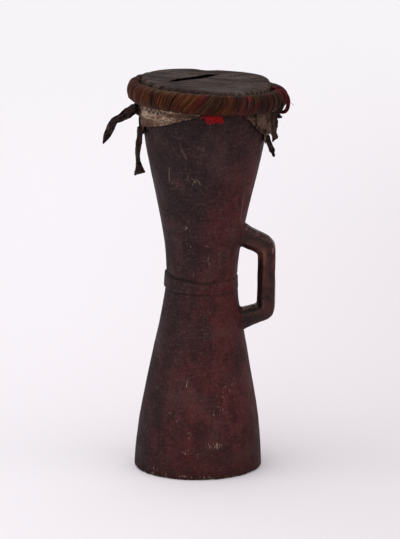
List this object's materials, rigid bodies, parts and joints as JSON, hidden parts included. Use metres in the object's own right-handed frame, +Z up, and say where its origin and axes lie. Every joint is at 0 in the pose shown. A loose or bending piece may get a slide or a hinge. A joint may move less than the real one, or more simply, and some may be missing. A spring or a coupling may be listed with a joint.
{
  "type": "hourglass hand drum",
  "caption": "Hourglass wooden hand drum with a carved side handle, a torn hide head held by a strip-bound hoop, and dried hide ends hanging below it.",
  "frame": {"origin": "centre of the foot, on the surface it stands on", "axes": "+Z up from the foot to the head, +X towards the handle, -Y towards the viewer of the picture"},
  "size_m": [0.2559, 0.2224, 0.5488],
  "materials": {
    "dark_wood": "worn and hand-polished",
    "hide": "dry, finely scaled",
    "dry_hide": "dry, wrinkled",
    "cane": "plain",
    "tan_strip": "fibrous",
    "olive_strip": "fibrous",
    "red_strip": "fibrous",
    "red_yarn": "fuzzy",
    "pale_thread": "plain"
  },
  "bodies": {
    "drum": {"drum_shell": "dark_wood", "drumhead_skin": "hide", "cane_hoop": "cane", "binding_left": "tan_strip", "binding_front": "olive_strip", "binding_right": "red_strip", "binding_back_right": "olive_strip", "binding_back_left": "tan_strip", "hide_flap": "hide", "red_yarn_tuft": "red_yarn", "lacing_thread": "pale_thread"},
    "upper_limb": {"hide_limb_upper": "dry_hide"},
    "lower_limb": {"hide_limb_lower": "dry_hide"},
    "tail": {"hide_tail": "dry_hide"}
  },
  "joints": [
    {"name": "upper_limb_flex", "type": "hinge", "parent": "drum", "child": "upper_limb", "pos_m": [-0.08233, 0.00662, 0.50516], "axis": [0.0697, 0.9976, -0.0017], "range_deg": [-26, 20], "stiffness_Nm_per_rad": 0.012, "springref_deg": 4.3},
    {"name": "lower_limb_swing", "type": "hinge", "parent": "drum", "child": "lower_limb", "pos_m": [-0.07734, -0.01729, 0.47553], "axis": [-0.1908, 0.9816, 0.0047], "range_deg": [-8, 60]},
    {"name": "tail_swing", "type": "hinge", "parent": "drum", "child": "tail", "pos_m": [0.09741, -0.02306, 0.46376], "axis": [-0.2587, -0.9659, 0.0063], "range_deg": [-10, 48]}
  ]
}
